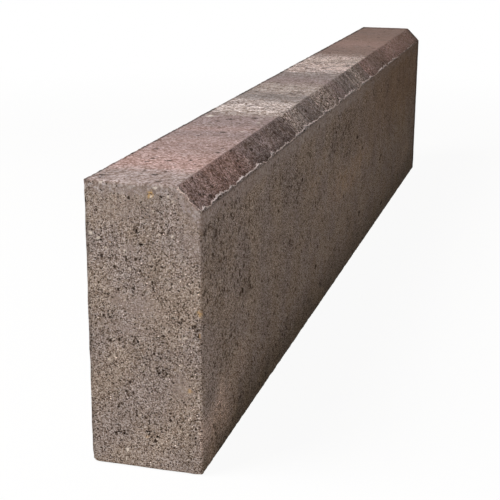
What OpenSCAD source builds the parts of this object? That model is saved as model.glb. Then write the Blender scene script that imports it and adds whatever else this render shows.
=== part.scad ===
// Concrete kerb stone, cast in one piece, with one chamfered edge along its top.
// It stands on its narrow base. X is the width, Y the length and Z the height.
// The origin is the middle of the base, and the chamfer is on the +X side, the road face.

/* [Stone] */
// Length from one end face to the other
length = 1000; // [250:10:1200]
// Width from the back face to the road face
width = 80; // [50:1:150]
// Height from the base to the top
height = 200; // [120:5:350]

/* [Chamfer] */
// Width that the chamfer takes from the top
chamfer_run = 16; // [5:0.5:30]
// Height that the chamfer takes from the road face
chamfer_drop = 16; // [5:0.5:30]

/* [Arrises] */
// Radius of the edges round the base
base_round = 3; // [1:0.5:8]
// Radius of the upright edges, and of the top's edges at the back and at the ends
arris_round = 1; // [0.5:0.25:4]

/* [Hidden] */
// How far a corner's waste reaches past the outline that it is cut from
overlap = 1;
$fn = 48;

// What a round takes off one corner of an outline.
// corner is the sharp corner's place, and outward points out of the outline there, such as [1, -1].
module corner_waste(corner, outward, radius) {
    reach = radius + overlap;
    translate(corner - outward * radius)
        difference() {
            translate(outward * reach / 2)
                square(reach, center = true);
            circle(r = radius);
        }
}

// Outline across the length: X to the right, Z up
module section() {
    difference() {
        polygon([
            [-width / 2, 0],
            [width / 2, 0],
            [width / 2, height - chamfer_drop],
            [width / 2 - chamfer_run, height],
            [-width / 2, height]
        ]);
        for (side = [-1, 1])
            corner_waste([side * width / 2, 0], [side, -1], base_round);
        corner_waste([-width / 2, height], [-1, 1], arris_round);
    }
}

// Outline from above: X to the right, Y up the sheet
module plan() {
    difference() {
        square([width, length], center = true);
        for (side = [-1, 1], end = [-1, 1])
            corner_waste([side * width / 2, end * length / 2], [side, end], arris_round);
    }
}

// Outline from the road face: Y to the right, Z up
module elevation() {
    difference() {
        translate([-length / 2, 0])
            square([length, height]);
        for (end = [-1, 1]) {
            corner_waste([end * length / 2, 0], [end, -1], base_round);
            corner_waste([end * length / 2, height], [end, 1], arris_round);
        }
    }
}

// The stone is what its three outlines have in common
module kerb_stone() {
    color([0.54, 0.48, 0.44])
        intersection() {
            rotate([90, 0, 0])
                linear_extrude(length, center = true)
                    section();
            linear_extrude(height)
                plan();
            rotate([90, 0, 90])
                linear_extrude(width, center = true)
                    elevation();
        }
}

kerb_stone();
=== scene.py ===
"""Concrete kerb stone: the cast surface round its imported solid, its concrete, and a plain studio."""
import functools
import itertools
import logging
import math
from collections.abc import Callable
from dataclasses import dataclass
from enum import Enum

import bpy
import numpy as np
from mathutils import Matrix, Vector


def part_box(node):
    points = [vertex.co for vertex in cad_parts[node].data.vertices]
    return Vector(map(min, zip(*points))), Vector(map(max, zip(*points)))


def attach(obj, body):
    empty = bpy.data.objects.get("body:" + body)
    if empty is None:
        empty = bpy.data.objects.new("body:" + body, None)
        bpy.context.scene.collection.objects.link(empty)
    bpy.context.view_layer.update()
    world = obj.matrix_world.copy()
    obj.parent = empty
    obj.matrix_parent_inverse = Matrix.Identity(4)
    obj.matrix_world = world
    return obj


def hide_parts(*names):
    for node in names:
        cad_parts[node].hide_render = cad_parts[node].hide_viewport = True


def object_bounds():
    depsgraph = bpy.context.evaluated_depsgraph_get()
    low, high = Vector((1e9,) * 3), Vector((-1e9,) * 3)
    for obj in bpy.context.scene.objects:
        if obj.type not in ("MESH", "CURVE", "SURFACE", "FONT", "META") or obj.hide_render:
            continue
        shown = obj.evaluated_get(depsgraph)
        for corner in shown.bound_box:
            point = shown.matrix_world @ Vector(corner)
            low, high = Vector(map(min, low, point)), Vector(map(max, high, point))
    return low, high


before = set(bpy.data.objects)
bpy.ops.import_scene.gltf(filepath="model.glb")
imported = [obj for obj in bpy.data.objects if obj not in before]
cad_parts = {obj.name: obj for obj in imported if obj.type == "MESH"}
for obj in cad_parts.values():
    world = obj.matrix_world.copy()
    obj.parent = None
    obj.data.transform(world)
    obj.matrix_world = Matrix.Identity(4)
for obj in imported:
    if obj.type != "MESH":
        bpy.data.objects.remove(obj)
CAD_LOW, CAD_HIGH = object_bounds()

LOG = logging.getLogger("kerb_stone")
MM = 0.001
NODE = "kerb_stone"
BODY = "root"
FLASH_MASK = "flash"
SEAM_HEIGHT = "seam"

# Large odd numbers and shifts that stir the lattice's random numbers
AXIS_FACTORS = (374761393, 668265263, 2246822519)
SEED_FACTOR = 40503
STIRS = ((15, 2246822519), (13, 3266489917))
LAST_SHIFT = 16

# How many places a line is sampled at before it is divided
SPACING_SAMPLES = 4001

# How noise bends the rims of the spots, and how deep under a face the spots fade
SPOT_QUICK_SIZE = 2.2 * MM
SPOT_QUICK_SHARE = 0.75
SPOT_QUICK_MOST = 3 * MM
SPOT_QUICK_SEEDS = (61, 67)
SPOT_SLOW_SIZE = 24 * MM
SPOT_SLOW_SHARE = 0.6
SPOT_SLOW_SEEDS = (151, 157)
SPOT_FADES = (1 * MM, 4 * MM)

# Where the chamfer's and the near end's finishes fade, and how much finer the chamfer's grain is
RIDGE_FADES = (-0.4 * MM, 0.4 * MM)
CHAMFER_FADES = (2 * MM, 1 * MM)
END_FADES = (2.4 * MM, 1.0 * MM)
CHAMFER_GRAIN = (1.5, 0.8, 1.5)

Span = tuple[float, float]
Rgb = tuple[float, float, float]
Point = tuple[float, float, float]


# Random numbers on a lattice, for the relief of the cast surface


def scatter(cells: np.ndarray, seed: int) -> np.ndarray:
    """Gives each lattice cell a random number that is the same on every run.

    The cell's three whole numbers are multiplied by large odd numbers and summed, and the sum is stirred
    by shifts and products that wrap round at 32 bits.

    Args:
        cells: Whole numbers, with the three axes last.
        seed: Picks another set of numbers.

    Returns:
        Numbers from 0 to 1, one for each cell.
    """
    whole = cells.astype(np.int64).astype(np.uint32)
    mixed = (whole * np.array(AXIS_FACTORS, np.uint32)).sum(axis=-1, dtype=np.uint32)
    mixed = mixed + np.uint32(seed * SEED_FACTOR % 2**32)
    for shift, factor in STIRS:
        mixed = (mixed ^ (mixed >> np.uint32(shift))) * np.uint32(factor)
    return (mixed ^ (mixed >> np.uint32(LAST_SHIFT))) / 2.0**32


def lattice_noise(points: np.ndarray, size: float, seed: int) -> np.ndarray:
    """Smooth random numbers over space.

    The corners of cubes of the given size hold random numbers, and a point blends its cube's eight
    corners by the curve 6t^5 - 15t^4 + 10t^3 along each axis.

    Args:
        points: Places, with the three axes last.
        size: Width of a cube.
        seed: Picks another set of numbers.

    Returns:
        Numbers from 0 to 1, one for each point.
    """
    scaled = points / size
    base = np.floor(scaled)
    part = scaled - base
    part = part**3 * (part * (part * 6 - 15) + 10)
    total = np.zeros(points.shape[:-1])
    for corner in itertools.product((0, 1), repeat=3):
        weight = np.prod(np.where(corner, part, 1 - part), axis=-1)
        total += weight * scatter(base + np.array(corner), seed)
    return total


def layered_noise(points: np.ndarray, size: float, seed: int, layers: int = 3) -> np.ndarray:
    """Lattice noise summed over layers, each half as large and half as strong as the one before.

    Args:
        points: Places, with the three axes last.
        size: Width of the first layer's cubes.
        seed: Picks another set of numbers.
        layers: How many layers are summed.

    Returns:
        Numbers from 0 to 1, one for each point.
    """
    shares = 0.5 ** np.arange(layers)
    total = sum(s * lattice_noise(points, size * s, seed + k) for k, s in enumerate(shares))
    return total / shares.sum()


def line_noise(along: np.ndarray, size: float, seed: int, layers: int = 3) -> np.ndarray:
    """Layered noise at distances along a line, from -0.5 to 0.5."""
    still = np.zeros_like(along)
    return layered_noise(np.stack([along, still, still], axis=-1), size, seed, layers) - 0.5


def eased(value: np.ndarray, start: float, stop: float) -> np.ndarray:
    """Runs from 0 at start to 1 at stop by the curve 3t^2 - 2t^3, flat on either side."""
    part = np.clip((value - start) / (stop - start), 0, 1)
    return part * part * (3 - 2 * part)


def spaced(length: float, step: Callable[[np.ndarray], np.ndarray]) -> np.ndarray:
    """Places along a line whose spacing follows a wanted step.

    The running sum of 1 / step counts the steps up to each place, and the places are where that count,
    stretched to end on a whole number, passes 0, 1, 2 and so on.

    Args:
        length: Length of the line.
        step: Gives the wanted spacing at each place.

    Returns:
        Places from 0 to length.
    """
    fine = np.linspace(0, length, SPACING_SAMPLES)
    middles = (fine[1:] + fine[:-1]) / 2
    count = np.concatenate([[0], np.cumsum(np.diff(fine) / step(middles))])
    return np.interp(np.linspace(0, count[-1], max(1, round(count[-1])) + 1), count, fine)


# The shape of the stone


@dataclass(frozen=True)
class Mould:
    """The block that the stone is cast to: a straight section with a chamfer, and its rounded edges."""

    low: np.ndarray
    high: np.ndarray
    chamfer_run: float = 16 * MM
    chamfer_drop: float = 16 * MM
    arris_round: float = 1 * MM
    base_round: float = 3 * MM
    base_round_ends: float = 12 * MM

    @property
    def chamfer_normal(self) -> np.ndarray:
        """Unit vector out of the chamfer."""
        normal = np.array([self.chamfer_drop, 0, self.chamfer_run])
        return normal / np.linalg.norm(normal)

    @property
    def chamfer_foot(self) -> np.ndarray:
        """Lower edge of the chamfer, as its place in X and Z."""
        return np.array([self.high[0], self.high[2] - self.chamfer_drop])

    @property
    def chamfer_head(self) -> np.ndarray:
        """Upper edge of the chamfer, as its place in X and Z."""
        return np.array([self.high[0] - self.chamfer_run, self.high[2]])

    def corners(self) -> np.ndarray:
        """The section's corners in X and Z, round from the back of the base by way of the road face."""
        (left, _, base), (right, _, top) = self.low, self.high
        return np.array([[left, base], [right, base], self.chamfer_foot, self.chamfer_head, [left, top]])

    def roof(self, across: np.ndarray) -> np.ndarray:
        """Height of the section's top, with its chamfer, at places across the width."""
        past = np.maximum(across - self.chamfer_head[0], 0)
        return self.high[2] - past * self.chamfer_drop / self.chamfer_run

    def face_depths(self, points: np.ndarray) -> np.ndarray:
        """How deep points lie under each of the seven faces.

        Args:
            points: Places, with the three axes last.

        Returns:
            Depths under the back, near end, base, road face, far end, top and chamfer, in the last axis.
        """
        foot = np.array([self.chamfer_foot[0], 0, self.chamfer_foot[1]])
        under_chamfer = (foot - points) @ self.chamfer_normal
        return np.concatenate([points - self.low, self.high - points, under_chamfer[..., None]], axis=-1)

    def rounded(self, points: np.ndarray, wear: np.ndarray) -> tuple[np.ndarray, np.ndarray]:
        """Moves points of the sharp block onto its rounded and worn edges.

        A point is first drawn into a smaller block, whose faces all lie one radius inside, and then comes
        back out by that radius in a straight line towards where it was. The radius grows near the base.

        Args:
            points: Places on the sharp block, with the three axes last.
            wear: What the radius has gained at each point.

        Returns:
            The rounded places, and the unit vectors out of the surface there.
        """
        near_base = 1 - eased(points[..., 2] - self.low[2], self.base_round, self.base_round_ends)
        radius = self.arris_round + (self.base_round - self.arris_round) * near_base + wear
        radius = radius[..., None]
        inner = np.clip(points, self.low + radius, self.high - radius)
        over = radius[..., 0] - self.face_depths(inner)[..., -1]
        inner = inner - np.maximum(over, 0)[..., None] * self.chamfer_normal
        outward = points - inner
        outward /= np.linalg.norm(outward, axis=-1, keepdims=True)
        return inner + outward * radius, outward


@dataclass(frozen=True)
class Mark:
    """One spot on a face: how far right and up its middle is, its width, its height and its strength."""

    right: float
    up: float
    wide: float
    tall: float
    strength: float = 1.0


class MarkKind(Enum):
    """What a spot is, by the name of the attribute that carries it."""

    HOLLOW = "hollow"
    PITTED = "pitted"
    PALE = "pale"
    OCHRE = "ochre"
    SMOOTH = "smooth"
    BLUSH = "blush"


class Face(Enum):
    """A face with spots: its number among the mould's depths, and the axes that run right and up on it.

    Places along the width count from the middle, along the length from the near end, and up from the base.
    """

    NEAR_END = (1, 0, 2)
    ROAD_FACE = (3, 1, 2)
    TOP = (5, 1, 0)


def spots(*rows: tuple[float, ...]) -> tuple[Mark, ...]:
    """Marks from rows of right, up, width and height in millimetres, and a strength where it isn't 1."""
    return tuple(Mark(*(size * MM for size in row[:4]), *row[4:]) for row in rows)


MARKS: dict[Face, dict[MarkKind, tuple[Mark, ...]]] = {
    Face.NEAR_END: {
        MarkKind.HOLLOW: spots(
            (9, 25, 5, 2, 0.9), (2, 28, 4, 1.4, 0.7), (-20, 25, 4, 1.4, 0.45),
            (-29, 160, 2.4, 1.8, 0.7), (-1, 159, 2.6, 1.8, 0.7), (-4, 168, 1.8, 4, 0.5),
            (20, 111, 2, 2, 0.6), (-5, 92, 2.6, 2, 0.6), (10, 71, 3, 2, 0.5),
            (-16, 25, 2.6, 2, 0.6),
        ),
        MarkKind.PITTED: spots(
            (6, 25, 16, 9), (-8, 189, 12, 5, 0.8), (-4, 166, 5, 13), (-29, 160, 9, 12, 0.9),
            (-1, 159, 7, 5), (-14, 149, 40, 7, 0.8), (6, 138, 9, 12, 0.9), (-29, 122, 14, 9, 0.9),
            (24, 110, 14, 9, 0.9), (36, 104, 6, 14, 0.9), (-23, 108, 14, 8, 0.9),
            (4, 102, 14, 4, 0.8), (-6, 92, 9, 9), (-15, 92, 24, 5, 0.9), (14, 85, 14, 9),
            (11, 72, 18, 11), (28, 53, 12, 6, 0.5), (-1, 40, 8, 5, 0.7), (20, 39, 14, 6, 0.8),
            (-17, 25, 18, 8), (-34, 44, 10, 14, 0.8), (34, 30, 8, 14, 0.5),
        ),
        MarkKind.PALE: spots(
            (-28, 199, 3, 2), (9, 197, 4, 2), (6, 191, 2, 2), (18, 192, 3, 2, 0.7),
            (20, 166, 3, 3, 0.8), (-36, 164, 3, 2, 0.8), (-31, 161, 3, 2), (-12, 154, 2, 2),
            (28, 98, 4, 3, 0.6), (0, 31, 2, 2), (-4, 40, 3, 2, 0.8), (-14, 13, 3, 3),
            (-15, 6, 2, 3, 0.7),
        ),
        MarkKind.OCHRE: spots(
            (5, 192, 7, 8), (21, 75, 3, 2, 0.6), (31, 61, 4, 4, 0.6), (39, 117, 4, 12, 0.7),
            (38, 101, 3, 6, 0.5), (4, 25, 8, 4, 0.45),
        ),
        MarkKind.SMOOTH: spots(
            (24, 63, 22, 24, 0.8), (-17, 117, 22, 18, 0.8), (-7, 156, 16, 8, 0.9),
            (6, 114, 38, 22, 0.7), (-12, 100, 32, 10, 0.6), (33, 168, 30, 60, 0.6),
            (-12, 184, 80, 40, 0.6),
        ),
        MarkKind.BLUSH: spots(
            (24, 178, 40, 40, 0.12),
        ),
    },
    Face.ROAD_FACE: {
        MarkKind.HOLLOW: spots(
            (367, 21, 9, 6, 0.8), (345, 46, 9, 7, 0.65), (565, 41, 18, 9, 0.6),
            (720, 17, 22, 9, 0.6), (700, 78, 24, 8, 0.6), (540, 132, 18, 7, 0.7),
            (425, 156, 14, 7, 0.7), (282, 142, 9, 7, 0.8), (200, 134, 7, 6, 0.7),
            (96, 102, 7, 6, 0.8), (112, 103, 8, 5, 0.8), (88, 115, 6, 5, 0.7),
            (236, 102, 8, 6, 0.6), (460, 148, 12, 6, 0.6),
        ),
        MarkKind.PITTED: spots(
            (60, 128, 160, 90, 0.45), (105, 102, 60, 24, 0.6), (50, 168, 140, 30, 0.4),
            (50, 76, 90, 40, 0.4), (265, 142, 120, 50, 0.5), (240, 100, 70, 40, 0.5),
            (470, 150, 230, 56, 0.6), (220, 20, 60, 20, 0.6), (330, 108, 90, 40, 0.4),
        ),
        MarkKind.OCHRE: spots(
            (500, 100, 300, 80, 0.32), (340, 130, 180, 70, 0.28), (850, 110, 320, 150, 0.26),
        ),
        # Lighter pinkish patches, partly painted light from the floor's bounce
        MarkKind.BLUSH: spots(
            (34, 26, 130, 56, 0.75), (80, 48, 100, 40, 0.45), (500, 100, 330, 56, 0.42),
            (540, 92, 150, 34, 0.3), (860, 44, 260, 50, 0.32),
        ),
    },
    Face.TOP: {
        MarkKind.PITTED: spots(
            (14, -32, 24, 14),
        ),
        MarkKind.HOLLOW: spots(
            (74, 9, 6, 5), (67, -5, 5, 10, 0.8), (245, 7, 8, 6, 0.9), (235, -10, 8, 6, 0.9),
            (300, -12, 9, 5, 0.5),
        ),
        MarkKind.PALE: spots(
            (244, -31, 11, 7), (97, 7, 5, 4, 0.6), (185, 14, 6, 4, 0.6), (225, 16, 6, 4.4, 0.7),
            (240, 12, 7, 4.4, 0.6), (425, 14, 16, 9, 0.3), (465, 14, 14, 8, 0.4),
        ),
    },
}


def spot_covers(points: np.ndarray, mould: Mould) -> dict[MarkKind, np.ndarray]:
    """How far the spots of each kind cover points on the surface.

    A spot is an ellipse whose rim is warped by quick and slow noise. The cover falls from its strength
    at the middle to 0 at the rim, by 1 minus the square of the distance in half widths.

    Args:
        points: Places, one to a row.
        mould: The block, for the places of its faces.

    Returns:
        Numbers from 0 to 1 for each kind, one for each point.
    """
    warp = [layered_noise(points, SPOT_QUICK_SIZE, seed, 2) - 0.5 for seed in SPOT_QUICK_SEEDS]
    drift = [layered_noise(points, SPOT_SLOW_SIZE, seed) - 0.5 for seed in SPOT_SLOW_SEEDS]
    middle = (mould.low[0] + mould.high[0]) / 2
    local = points - np.array([middle, mould.low[1], mould.low[2]])
    depths = mould.face_depths(points)
    covers = {kind: np.zeros(len(points)) for kind in MarkKind}
    for face, kinds in MARKS.items():
        number, *axes = face.value
        on_face = 1 - eased(depths[:, number], *SPOT_FADES)
        for kind, mark in ((kind, mark) for kind, marks in kinds.items() for mark in marks):
            away = np.zeros(len(points))
            sizes = (mark.wide, mark.tall)
            for axis, place, size, quick, slow in zip(axes, (mark.right, mark.up), sizes, warp, drift):
                ragged = min(SPOT_QUICK_SHARE * size, SPOT_QUICK_MOST) * quick
                bent = local[:, axis] - place + ragged + SPOT_SLOW_SHARE * size * slow
                away += (2 * bent / size) ** 2
            covers[kind] = np.maximum(covers[kind], on_face * mark.strength * np.clip(1 - away, 0, 1))
    return covers


@dataclass(frozen=True)
class Relief:
    """How the cast surface lies inside the mould's faces: gentle waves, chipped arrises and pores."""

    wave_depth: float = 0.2 * MM
    wave_size: float = 60 * MM
    wave_seed: int = 127
    grit_depth: float = 0.2 * MM
    grit_size: float = 1.9 * MM
    grit_seed: int = 131
    wear_most: float = 1.5 * MM
    wear_size: float = 6 * MM
    wear_seed: int = 109
    chip_size: float = 2.2 * MM
    chip_seed: int = 113
    pore_cell: float = 3.6 * MM
    pore_seeds: tuple[int, ...] = (89, 97, 101)
    pore_radius: Span = (0.3 * MM, 1.0 * MM)
    pore_radius_seed: int = 103
    pore_rare: float = 0.02
    pore_crowding: float = 0.14
    pore_chance_seed: int = 107
    pore_cluster: float = 20 * MM
    pore_cluster_seed: int = 83
    pore_warp: float = 1.3 * MM
    pore_warp_size: float = 1.4 * MM
    pore_warp_seeds: tuple[int, ...] = (71, 73, 79)
    cavity_depth: float = 1.8 * MM

    def pores(self, points: np.ndarray, least: float) -> np.ndarray:
        """Depth of the air pores that the surface cuts.

        Each cube of a lattice holds one ball at a random place, with a random radius that grows where
        slow noise is high. A point inside a ball lies as deep as half the chord there.

        Args:
            points: Places, with the three axes last.
            least: Radius under which a pore is too small for the mesh, and is left out.

        Returns:
            Depths, one for each point.
        """
        warp = [lattice_noise(points, self.pore_warp_size, seed) for seed in self.pore_warp_seeds]
        bent = points + self.pore_warp * (np.stack(warp, axis=-1) - 0.5)
        cell = np.floor(bent / self.pore_cell)
        cluster = eased(layered_noise(points, self.pore_cluster, self.pore_cluster_seed), 0.36, 0.68)
        small, large = self.pore_radius
        depth = np.zeros(points.shape[:-1])
        for offset in itertools.product((-1, 0, 1), repeat=3):
            home = cell + np.array(offset)
            place = np.stack([scatter(home, seed) for seed in self.pore_seeds], axis=-1)
            away = np.linalg.norm(bent - (home + place) * self.pore_cell, axis=-1)
            radius = small + (large - small) * scatter(home, self.pore_radius_seed) ** 2 * (0.35 + cluster)
            there = scatter(home, self.pore_chance_seed) < self.pore_rare + self.pore_crowding * cluster
            radius = np.where((radius > least) & there, radius, 0)
            depth = np.maximum(depth, np.sqrt(np.maximum(radius**2 - away**2, 0)))
        return depth

    def wear(self, points: np.ndarray) -> np.ndarray:
        """What rubbing and small chips add to the radius of the edges, by slow and quick noise.

        Args:
            points: Places, with the three axes last.

        Returns:
            Lengths, one for each point.
        """
        slow = eased(layered_noise(points, self.wear_size, self.wear_seed), 0.40, 0.8)
        quick = eased(layered_noise(points, self.chip_size, self.chip_seed, 2), 0.36, 0.75)
        return self.wear_most * (0.5 * slow + 0.5 * quick)

    def waves(self, points: np.ndarray) -> np.ndarray:
        """Depth of the slow unevenness of the faces, and of the grit in them."""
        slow = self.wave_depth * layered_noise(points, self.wave_size, self.wave_seed)
        return slow + self.grit_depth * layered_noise(points, self.grit_size, self.grit_seed, 2)


@dataclass(frozen=True)
class Flash:
    """The thin ragged fin that the mould's seam leaves along the chamfer's lower edge."""

    rise: float = 0.6 * MM
    wander: float = 5 * MM
    wander_length: float = 14 * MM
    wander_seed: int = 163
    jitter: float = 2 * MM
    jitter_length: float = 3.4 * MM
    jitter_seed: int = 167
    kept: float = 0.75
    kept_swing: float = 1.1
    kept_length: float = 17 * MM
    kept_seed: int = 137
    ragged_length: float = 3.0 * MM
    ragged_seed: int = 139
    tallest: float = 3 * MM
    thickness: float = 0.6 * MM
    root: float = 0.3 * MM
    reach: float = 8 * MM
    half_width: float = 0.34 * MM
    half_width_far: float = 0.5 * MM
    fades_from: float = 600 * MM
    ends_at: float = 1000 * MM

    def left_at(self, along: np.ndarray) -> np.ndarray:
        """How much of the fin's height is left.

        Slow noise decides how much of the fin is left on a stretch, and quick noise makes its edge
        ragged. Past the middle of the stone the bar rises, so that only bits are left.

        Args:
            along: Distances from the near end.

        Returns:
            Shares from 0 to 1, one for each place.
        """
        slow = line_noise(along, self.kept_length, self.kept_seed)
        quick = line_noise(along, self.ragged_length, self.ragged_seed, 2)
        missing = eased(along, self.fades_from, self.ends_at)
        return np.clip(self.kept + self.kept_swing * slow + self.kept_swing * quick - missing, 0, 1)

    def crest_at(self, along: np.ndarray) -> np.ndarray:
        """Height of the seam over the chamfer's lower edge.

        Slow and quick noise take the seam up and down. Above the edge it is the crest of the fin, as far as
        that is left, and below the edge it is a scar on the road face.

        Args:
            along: Distances from the near end.

        Returns:
            Heights, one for each place.
        """
        slow = line_noise(along, self.wander_length, self.wander_seed, 2)
        quick = line_noise(along, self.jitter_length, self.jitter_seed, 2)
        crest = self.rise + self.wander * slow + self.jitter * quick
        return np.where(crest > 0, np.minimum(crest, self.tallest) * self.left_at(along), crest)


@dataclass
class Sheet:
    """A grid of points with their outward directions, wound so that its faces look outwards."""

    points: np.ndarray
    outward: np.ndarray
    first: int = 0

    @property
    def numbers(self) -> np.ndarray:
        """The vertex numbers of the grid."""
        rows, columns = self.points.shape[:2]
        return self.first + np.arange(rows * columns).reshape(rows, columns)


def quads(numbers: np.ndarray) -> np.ndarray:
    """Faces between neighbouring rows and columns of a grid of vertex numbers."""
    corners = (numbers[:-1, :-1], numbers[1:, :-1], numbers[1:, 1:], numbers[:-1, 1:])
    return np.stack(corners, axis=-1).reshape(-1, 4)


def zipped(
    outer: np.ndarray, outer_laps: np.ndarray, inner: np.ndarray, inner_laps: np.ndarray
) -> np.ndarray:
    """Triangles that close the strip between two loops with different numbers of vertices.

    Both loops run the same way round, and a lap counts from 0 at the start to 1 back there. Each edge of a
    loop makes a triangle with the vertex that the other loop has reached when the edge ends.

    Args:
        outer: Vertex numbers of the outer loop.
        outer_laps: How far round each of them is.
        inner: Vertex numbers of the inner loop.
        inner_laps: How far round each of them is.

    Returns:
        Triangles as rows of three vertex numbers.
    """
    outer_ends = np.append(outer_laps[1:], 1.0)
    inner_ends = np.append(inner_laps[1:], 1.0)
    reached_in = np.searchsorted(inner_ends, outer_ends, side="left") % len(inner)
    reached_out = np.searchsorted(outer_ends, inner_ends, side="right") % len(outer)
    from_outer = np.stack([outer, np.roll(outer, -1), inner[reached_in]], axis=-1)
    from_inner = np.stack([np.roll(inner, -1), inner, outer[reached_out]], axis=-1)
    return np.concatenate([from_outer, from_inner])


# Shader nodes as expressions


class Field:
    """A socket that varies over a surface. Its operators add Math nodes, so they are for values only."""

    def __init__(self, sheet: "NodeSheet", socket: bpy.types.NodeSocket) -> None:
        """Wraps a socket of a node sheet."""
        self.sheet = sheet
        self.socket = socket

    def __add__(self, other: "Field | float") -> "Field":
        """Sum."""
        return self.sheet.math("ADD", self, other)

    __radd__ = __add__

    def __sub__(self, other: "Field | float") -> "Field":
        """Difference."""
        return self.sheet.math("SUBTRACT", self, other)

    def __rsub__(self, other: float) -> "Field":
        """Difference from a number."""
        return self.sheet.math("SUBTRACT", other, self)

    def __mul__(self, other: "Field | float") -> "Field":
        """Product."""
        return self.sheet.math("MULTIPLY", self, other)

    __rmul__ = __mul__

    def __truediv__(self, other: "Field | float") -> "Field":
        """Quotient."""
        return self.sheet.math("DIVIDE", self, other)


class NodeSheet:
    """A node tree that is filled by expressions."""

    def __init__(self, tree: bpy.types.NodeTree) -> None:
        """Takes a tree and empties it."""
        self.tree = tree
        tree.nodes.clear()

    def add(
        self, kind: str, settings: dict | None = None, inputs: dict | None = None, output: int | str = 0
    ) -> Field:
        """Adds a node.

        Args:
            kind: The node's type.
            settings: Properties that are set first. A ramp's stops are (place, colour) pairs.
            inputs: Values or links by socket name or number.
            output: Which of its outputs is wanted.

        Returns:
            That output.
        """
        node = self.tree.nodes.new(kind)
        for name, value in (settings or {}).items():
            if name == "stops":
                self._set_stops(node.color_ramp, value)
            else:
                setattr(node, name, value)
        for name, value in (inputs or {}).items():
            if isinstance(value, Field):
                self.tree.links.new(value.socket, node.inputs[name])
            else:
                node.inputs[name].default_value = value
        return Field(self, node.outputs[output] if len(node.outputs) else None)

    @staticmethod
    def _set_stops(ramp: bpy.types.ColorRamp, stops: list[tuple[float, Rgb]]) -> None:
        """Gives a ramp its stops.

        Args:
            ramp: A new ramp, which has two stops.
            stops: Places and colours, in order of place.
        """
        for _ in stops[2:]:
            ramp.elements.new(1.0)
        for element, (place, colour) in zip(ramp.elements, stops):
            element.position = place
            element.color = (*colour, 1.0)

    def math(self, operation: str, *values: "Field | float") -> Field:
        """A Math node on numbers or value sockets."""
        return self.add("ShaderNodeMath", {"operation": operation}, dict(enumerate(values)))

    def place(self) -> Field:
        """The place on the object, in metres."""
        return self.add("ShaderNodeTexCoord", output="Object")

    def axes(self, vector: Field) -> tuple[Field, Field, Field]:
        """The three parts of a vector."""
        parts = self.add("ShaderNodeSeparateXYZ", inputs={0: vector}).socket.node.outputs
        return Field(self, parts[0]), Field(self, parts[1]), Field(self, parts[2])

    def most(self, *values: "Field | float") -> Field:
        """The largest of some values."""
        return functools.reduce(lambda one, other: self.math("MAXIMUM", one, other), values)

    def stretched(self, vector: Field, factors: Point) -> Field:
        """A place with each axis multiplied by a factor."""
        return self.add("ShaderNodeMapping", inputs={"Vector": vector, "Scale": factors})

    def noise(self, vector: Field, size: float, detail: float = 2.0, roughness: float = 0.5) -> Field:
        """Noise from 0 to 1 whose first layer has lumps of the given size."""
        inputs = {"Vector": vector, "Scale": 1 / size, "Detail": detail, "Roughness": roughness}
        return self.add("ShaderNodeTexNoise", None, inputs)

    def grains(self, vector: Field, size: float) -> tuple[Field, Field]:
        """Grains as Voronoi cells.

        Args:
            vector: The place.
            size: Width of a grain.

        Returns:
            Distance from the nearest grain's middle, in grain widths, and that grain's random number.
        """
        node = self.add("ShaderNodeTexVoronoi", None, {"Vector": vector, "Scale": 1 / size}).socket.node
        colour = Field(self, node.outputs["Color"])
        chance = self.add("ShaderNodeSeparateColor", inputs={0: colour})
        return Field(self, node.outputs["Distance"]), chance

    def dots(self, vector: Field, size: float, rim: Span, odds: Span) -> Field:
        """Round dots at the middles of some grains.

        Args:
            vector: The place.
            size: Width of a grain.
            rim: How far from its middle a dot has gone, and how far it is full, in grain widths.
            odds: The random numbers of a grain that has no dot yet, and of one that has a full dot.

        Returns:
            1 in a dot, 0 outside.
        """
        near, chance = self.grains(vector, size)
        return self.ease(near, *rim) * self.ease(chance, *odds)

    def ease(self, value: Field, start: float, stop: float, low: float = 0.0, high: float = 1.0) -> Field:
        """Runs smoothly from low at start to high at stop, flat on either side."""
        inputs = {0: value, 1: start, 2: stop, 3: low, 4: high}
        return self.add("ShaderNodeMapRange", {"interpolation_type": "SMOOTHSTEP"}, inputs)

    def attribute(self, name: str) -> Field:
        """A number that the mesh holds at each vertex."""
        settings = {"attribute_name": name, "attribute_type": "GEOMETRY"}
        return self.add("ShaderNodeAttribute", settings, output="Fac")

    def mark(self, kind: MarkKind) -> Field:
        """How far the spots of a kind cover the place."""
        return self.attribute(kind.value)

    def mix(
        self, share: "Field | float", under: "Field | Rgb", over: "Field | Rgb", blend: str = "MIX"
    ) -> Field:
        """Lays one colour over another.

        Args:
            share: How far the upper colour covers, from 0 to 1.
            under: The lower colour.
            over: The upper colour.
            blend: The way they are blended.

        Returns:
            The blended colour.
        """
        under, over = (c if isinstance(c, Field) else (*c, 1.0) for c in (under, over))
        settings = {"data_type": "RGBA", "blend_type": blend, "clamp_factor": True}
        return self.add("ShaderNodeMix", settings, {0: share, 6: under, 7: over}, 2)

    def brightness(self, colour: Field) -> Field:
        """How bright a colour is."""
        return self.add("ShaderNodeRGBToBW", None, {0: colour})

    def scaled(self, colour: Field, factor: Field) -> Field:
        """A colour made lighter or darker by a factor."""
        return self.add("ShaderNodeVectorMath", {"operation": "SCALE"}, {"Vector": colour, "Scale": factor})


# The finishes


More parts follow.
